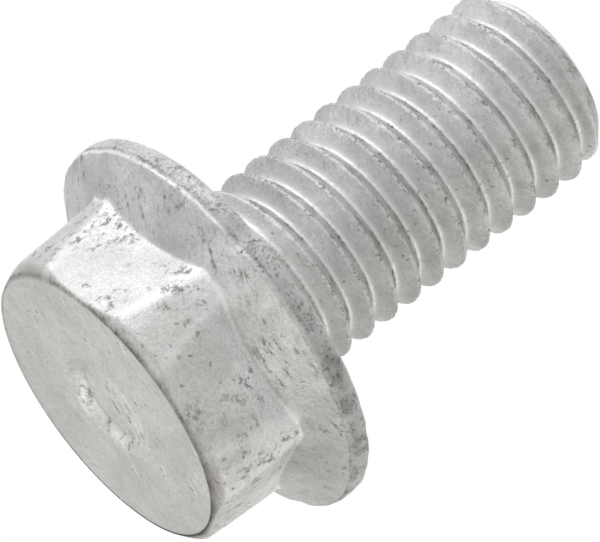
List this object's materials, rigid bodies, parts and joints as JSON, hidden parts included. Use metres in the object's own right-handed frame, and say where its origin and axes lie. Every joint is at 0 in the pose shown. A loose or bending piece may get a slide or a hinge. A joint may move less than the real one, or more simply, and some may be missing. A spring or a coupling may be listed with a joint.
{
  "type": "flange bolt",
  "caption": "Steel hexagon flange bolt with a shallow dimple in the head, a conical flange with a rounded rim, and a right-hand metric thread up to the head.",
  "frame": {"origin": "centre of the flange's bearing face, on the bolt's axis", "axes": "+Z along the axis from the head to the point; +X at right angles to one flat of the hexagon or through a corner, as modelled"},
  "size_m": [0.0246, 0.0246, 0.0331],
  "materials": {
    "zinc_coated_steel": "matt silver-grey zinc coating, fine-grained, with dark specks, light scratches and dirt in the corners"
  },
  "bodies": {
    "root": {"flange_bolt": "zinc_coated_steel"}
  },
  "joints": []
}
